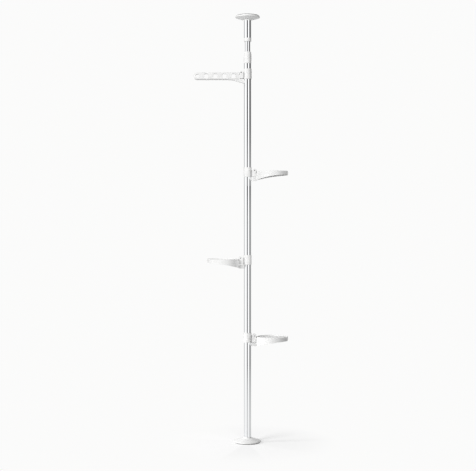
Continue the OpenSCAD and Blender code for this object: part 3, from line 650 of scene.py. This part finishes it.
bush_low, bush_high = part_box("sleeve_bush")
hole = ROD_RADIUS + PLAY
flange = bush_low.z + BUSH_HEIGHT
outline = rounded([
    (hole, bush_low.z, BUSH_END_ROUND), (TUBE_RADIUS, bush_low.z, BUSH_LOWER_ROUND),
    (TUBE_RADIUS, flange, BUSH_UPPER_ROUND), (PLUG_RADIUS, flange, 0),
    (PLUG_RADIUS, bush_high.z, BUSH_END_ROUND), (hole, bush_high.z, BUSH_END_ROUND),
])
stands_for(turned("sleeve_bush_turned", outline), "sleeve_bush")
print("bush", round(BUSH_HEIGHT * 1000), "mm of it in sight")

# %% [markdown]
# ## Moulded pieces that stay as the frame has them
#
# Grips, collars, knuckles, trays and the arm have their true shape in the frame already. What a
# real moulding has besides is a small radius on every edge, because a mould can't be cut without
# one. The bevel modifier lays that radius without touching the piece underneath. Points that lie on
# each other are welded first and the flats are merged, so the bevel runs along real edges only. The
# pins, grips and rubber discs are finer work and get a smaller radius. The spring is thin wire that
# shortens when the head is pressed, and is left as it is.

# %% Finish what stays
ORDINARY_EDGE = 0.5 * MM
EDGE_OF = {"pin": 0.3 * MM, "grip": 0.25 * MM, "rubber": 0.3 * MM, "pad": 0.3 * MM}
EDGE_STEPS = 3
EDGE_ANGLE = math.radians(35)
FLAT_ANGLE = math.radians(1)
WELD_REACH = 0.004 * MM
WITHOUT_EDGES = {"head_spring"}


def soften(made, width):
    """Lays a small radius on a piece's edges by modifiers, so its own mesh stays as it is."""
    weld = made.modifiers.new("weld", "WELD")
    weld.merge_threshold = WELD_REACH
    flats = made.modifiers.new("flats", "DECIMATE")
    flats.decimate_type = "DISSOLVE"
    flats.angle_limit = FLAT_ANGLE
    edges = made.modifiers.new("edges", "BEVEL")
    edges.width = width
    edges.segments = EDGE_STEPS
    edges.limit_method = "ANGLE"
    edges.angle_limit = EDGE_ANGLE
    edges.harden_normals = True
    even = made.modifiers.new("even", "WEIGHTED_NORMAL")
    even.keep_sharp = True


kept = 0
for name, made in frame["nodes"].items():
    if made.hide_render:
        continue
    kept += 1
    last_word = name.split("_")[-1]
    # Knuckles take the white with painted shade along their inner edge.
    finish = knuckle_white_painted_shade if last_word == "knuckle" else FINISH[slot_of[name]]
    made.data.materials.clear()
    made.data.materials.append(finish)
    if name not in WITHOUT_EDGES:
        soften(made, EDGE_OF.get(last_word, ORDINARY_EDGE))
print("kept", kept, "nodes")

# %% [markdown]
# ## The studio
#
# The picture has a white floor and a white wall with no line between them, and a soft shadow to the
# right of the foot. The wall is the world's background. The camera and mirrors see it white. To all
# other rays the room is a good deal darker, so that the lamps decide how the plastic is shaded.

# %% Wall
WORLD_LIGHT = 0.31
PAPER_WHITE = 0.965
PAPER_TONE = (1.0, 1.0, 0.996, 1)


def seen_directly(tree):
    """One for rays from the camera or off a mirror, nought for the rays that carry light about."""
    rays = node(tree, "ShaderNodeLightPath")
    either = node(tree, "ShaderNodeMath", operation="MAXIMUM")
    wire(tree, rays, "Is Camera Ray", either, 0)
    wire(tree, rays, "Is Glossy Ray", either, 1)
    return either


def mixed(tree, amount, output, first, second):
    """Blends two shaders, from the first at nought to the second at one."""
    mix = node(tree, "ShaderNodeMixShader")
    wire(tree, amount, output, mix, "Fac")
    wire(tree, first, 0, mix, 1)
    wire(tree, second, 0, mix, 2)
    return mix


scene.world = bpy.data.worlds.new("studio")
scene.world.use_nodes = True
tree = scene.world.node_tree
tree.nodes.clear()
room = node(tree, "ShaderNodeBackground", Strength=WORLD_LIGHT)
room.inputs["Color"].default_value = (1, 1, 1, 1)
wall = node(tree, "ShaderNodeBackground", Strength=PAPER_WHITE)
wall.inputs["Color"].default_value = PAPER_TONE
output = node(tree, "ShaderNodeOutputWorld")
wire(tree, mixed(tree, seen_directly(tree), "Value", room, wall), "Shader", output, "Surface")
print("wall", PAPER_WHITE, "to the camera and", WORLD_LIGHT, "to the rest")

# %% [markdown]
# The floor is a real plane, just under the rubber disc. Its material has two parts. Near the foot
# it is matt paper that takes light and shadow, with a glow on top that lifts it to white. Only the
# camera and mirrors see that glow, so it adds no light to the pole. Further out the floor is glow
# alone, as bright as the wall, so that it runs into the wall without an edge.

# %% Floor
FLOOR_SIZE = 60.0
FLOOR_DROP = 0.2 * MM
PAPER = 0.5
FLOOR_GLOW = 0.556
SHADED_REACH = 0.12
SHADED_FADE = 0.5

bpy.ops.mesh.primitive_plane_add(size=FLOOR_SIZE, location=(0, 0, -FLOOR_DROP))
floor = bpy.context.object
floor.name = "floor"
floor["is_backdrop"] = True

paper = bpy.data.materials.new("studio_paper")
paper.use_nodes = True
paper.cycles.emission_sampling = "NONE"
tree = paper.node_tree
tree.nodes.clear()
matt = node(tree, "ShaderNodeBsdfDiffuse")
matt.inputs["Color"].default_value = (PAPER, PAPER, PAPER, 1)
glow = node(tree, "ShaderNodeEmission", Strength=FLOOR_GLOW)
near = node(tree, "ShaderNodeAddShader")
wire(tree, matt, 0, near, 0)
wire(tree, glow, 0, near, 1)
far = node(tree, "ShaderNodeEmission", Strength=PAPER_WHITE)
far.inputs["Color"].default_value = PAPER_TONE
place = node(tree, "ShaderNodeTexCoord")
distance = node(tree, "ShaderNodeVectorMath", operation="LENGTH")
wire(tree, place, "Object", distance, 0)
fade = node(tree, "ShaderNodeMapRange", interpolation_type="SMOOTHSTEP")
fade.inputs["From Min"].default_value = SHADED_REACH
fade.inputs["From Max"].default_value = SHADED_FADE
wire(tree, distance, "Value", fade, "Value")
look = mixed(tree, fade, "Result", near, far)
output = node(tree, "ShaderNodeOutputMaterial")
wire(tree, mixed(tree, seen_directly(tree), "Value", matt, look), "Shader", output, "Surface")
floor.data.materials.append(paper)
print("floor made, shaded within", SHADED_REACH, "m and faded by", SHADED_FADE, "m")

# %% [markdown]
# ## Lamps
#
# The light in the picture comes from the left and the front. The trays are white on the left and
# pass through pale grey to a mid grey at their right ends, and the foot throws a soft shadow to the
# right along the floor.
#
# - The key is a large lamp, left of the camera and above it. It sets the white of every face that
#   looks left or forward.
# - The fill stands on the right, about as high as the arm, and is aimed between the arm and the
#   upper tray. Its beam is narrow, so it lifts the grey of the right sides and leaves the foot
#   alone.
# - The neck lamp stands further to the right, level with the middle tray, and reaches little else.
#   It lifts the hollow flank of that tray, which looks away from the key.
# - The pad lamp stands low in front of the pole and is aimed past its top end. Its thin beam lights
#   the ceiling pad from below, as the white floor of a real studio would.
# - The low lamp stands far to the left, lower than the key, and is aimed at the foot. It makes the
#   shadow.
#
# The key is a soft box. The other four are spots with a broad soft source, so each reaches little
# more than what it is aimed at. None of the five is seen by the chrome, where a lamp would burn a
# wide white streak. What the chrome shows is decided by the cards.

# %% Lamps
def placed(name, data, place, aim):
    """Puts a lamp at a place and turns it to what it is aimed at."""
    made = bpy.data.objects.new(name, data)
    scene.collection.objects.link(made)
    made.location = place
    made.rotation_euler = (Vector(aim) - Vector(place)).to_track_quat("-Z", "Y").to_euler()
    made.visible_glossy = False
    made.visible_camera = False


def soft_box(name, place, aim, size, watts):
    data = bpy.data.lights.new(name, "AREA")
    data.shape = "RECTANGLE"
    data.size, data.size_y = size
    data.energy = watts
    placed(name, data, place, aim)


def beam(name, place, aim, radius, watts, degrees):
    """A spot whose light fades from its middle to the edge of its cone."""
    data = bpy.data.lights.new(name, "SPOT")
    data.shadow_soft_size = radius
    data.spot_size = math.radians(degrees)
    data.spot_blend = 1
    data.energy = watts
    placed(name, data, place, aim)


soft_box("key", (-4.1, -4.3, 3.0), (0, 0, 1.0), (2.4, 2.8), 300)
beam("fill", (3.1, -4.3, 2.0), (0, 0, 1.5), 0.9, 365, 32)
beam("neck", (4.2, -2.4, 1.0), (0, 0, 0.95), 0.28, 200, 14)
beam("pad", (-0.6, -4.0, 0.4), (0, 0, 2.42), 0.06, 300, 8)
beam("low", (-3.9, -0.7, 1.3), (0, 0, 0.0), 0.4, 410, 24)
print("lamps placed")

# %% [markdown]
# ## Cards
#
# A chrome tube needs something dark to reflect, or it vanishes into the white. A tube shows the
# whole room squeezed into its width, so each stripe belongs to one range of angles round the pole,
# counted from the camera to the right.
#
# - Straight behind the camera a narrow black card draws the dark line down the middle of the tube.
# - Next to it a bright card keeps the gap between the two dark lines white.
# - A wide grey card round the right side draws the broad line on the right, and also shades the
#   right side of the white parts.
# - Two cards on the left draw the bright line and the pale grey edge there.
#
# Each card lies on the floor first and turns up at its far end. Its floor part grows out of the
# white slowly, so the stripes fade towards the foot as they do on a real tube, and its upper part
# gets stronger with height. The side edges are soft as well. The camera never sees the cards
# themselves.
#
# Of each card, angles says which part of the circle it takes, soft how many degrees its side edges
# need to fade, and tone how bright it is. The larger grows is, the stronger the card already is
# beside the pole.

# %% Cards
CARD_DISTANCE = 9.0
CARD_HEIGHT = 7.0
CARD_LIFT = 1 * MM
CARD_STARTS = 0.09
CARD_ENDS = 3.2
CARD_PALE = 0.78
CARD_DARKENS = (1.4, 2.6)
CARD_STEPS = 24
CARDS = {
    "card_behind_camera": {"angles": (-20, 13), "soft": 2, "tone": 0.02, "grows": 1.6},
    "card_gap": {"angles": (14, 49), "soft": 2, "tone": 1.25, "grows": 0.2},
    "card_right": {"angles": (49, 142), "soft": 3, "tone": 0.17, "grows": 2.4},
    "card_left": {"angles": (-92, -52), "soft": 8, "tone": 1.15, "grows": 0.2},
    "card_far_left": {"angles": (-168, -104), "soft": 12, "tone": 0.42, "grows": 3.0},
}
print("cards to place", len(CARDS))

# %% [markdown]
# A card shines grey and is partly clear. How clear it is follows from where a point of it lies:
# its angle round the pole for the side edges, its distance from the origin for the slow start, and
# its height for the stronger upper part. Each of these is a ramp, and their product blends the
# clear with the grey.

# %% Card material
def card_ramp(tree, start, end, kind="LINEAR"):
    """Rises from nought at start to one at end."""
    ramp = node(tree, "ShaderNodeMapRange", interpolation_type=kind)
    ramp.inputs["From Min"].default_value = start
    ramp.inputs["From Max"].default_value = end
    return ramp


def product(tree, first, second, output="Result"):
    made = node(tree, "ShaderNodeMath", operation="MULTIPLY")
    wire(tree, first, output, made, 0)
    wire(tree, second, output, made, 1)
    return made


def angle_round_pole(tree, parts):
    """Angle from the camera's side to the right, in radians."""
    forward = node(tree, "ShaderNodeMath", operation="MULTIPLY")
    forward.inputs[1].default_value = -1
    wire(tree, parts, "Y", forward, 0)
    angle = node(tree, "ShaderNodeMath", operation="ARCTAN2")
    wire(tree, parts, "X", angle, 0)
    wire(tree, forward, "Value", angle, 1)
    return angle


def card_material(name, angles, soft, tone, grows):
    """Grey light that fades out towards the pole and both side edges, and is paler low down."""
    made = bpy.data.materials.new(name)
    made.use_nodes = True
    made.cycles.emission_sampling = "NONE"
    tree = made.node_tree
    tree.nodes.clear()
    place = node(tree, "ShaderNodeTexCoord")
    parts = node(tree, "ShaderNodeSeparateXYZ")
    wire(tree, place, "Object", parts, "Vector")
    angle = angle_round_pole(tree, parts)
    left, left_full, right, right_full = [
        math.radians(a) for a in (angles[0], angles[0] + soft, angles[1], angles[1] - soft)
    ]
    rise = card_ramp(tree, left, left_full, "SMOOTHSTEP")
    fall = card_ramp(tree, right, right_full, "SMOOTHSTEP")
    grow = card_ramp(tree, -grows, CARD_ENDS)
    darken = card_ramp(tree, *CARD_DARKENS, "SMOOTHSTEP")
    darken.inputs["To Min"].default_value = CARD_PALE
    reach = node(tree, "ShaderNodeVectorMath", operation="LENGTH")
    wire(tree, place, "Object", reach, 0)
    wire(tree, angle, "Value", rise, "Value")
    wire(tree, angle, "Value", fall, "Value")
    wire(tree, reach, "Value", grow, "Value")
    wire(tree, parts, "Z", darken, "Value")
    sides = product(tree, rise, fall)
    strength = product(tree, grow, darken)
    shown = product(tree, sides, strength, "Value")
    clear = node(tree, "ShaderNodeBsdfTransparent")
    grey = node(tree, "ShaderNodeEmission", Strength=tone)
    output = node(tree, "ShaderNodeOutputMaterial")
    wire(tree, mixed(tree, shown, "Value", clear, grey), "Shader", output, "Surface")
    return made


print("card material ready")

# %% [markdown]
# The cards themselves are strips of a few faces. They throw no shadow of their own. The bright ones
# are kept from the plastic, since they would light it, while the dark ones are allowed to shade it.

# %% Card shapes
def card(name, angles, soft, tone, grows):
    """A strip along the floor that turns up into a wall, between two angles round the pole."""
    mesh = bmesh.new()
    rows = []
    lift = Vector((0, 0, CARD_LIFT))
    for k in range(CARD_STEPS + 1):
        a = math.radians(angles[0] + (angles[1] - angles[0]) * k / CARD_STEPS)
        out = Vector((math.sin(a), -math.cos(a), 0))
        fold = out * CARD_DISTANCE + lift
        corners = (out * CARD_STARTS + lift, fold, fold + Vector((0, 0, CARD_HEIGHT)))
        rows.append([mesh.verts.new(corner) for corner in corners])
    for row, other in zip(rows, rows[1:]):
        for k in range(2):
            mesh.faces.new((row[k], other[k], other[k + 1], row[k + 1]))
    made = piece_from(mesh, name)
    made.data.materials.append(card_material(name, angles, soft, tone, grows))
    made.visible_camera = False
    made.visible_shadow = False
    made.visible_diffuse = tone < 1
    made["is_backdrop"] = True


for name, shape in CARDS.items():
    card(name, **shape)
print("cards placed", ", ".join(CARDS))

# %% [markdown]
# ## Measure and finish
#
# The dressed model must fill the same box as the frame. Its size is printed here.

# %% Finish
low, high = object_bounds()
print("size dressed", [round(v, 4) for v in high - low])
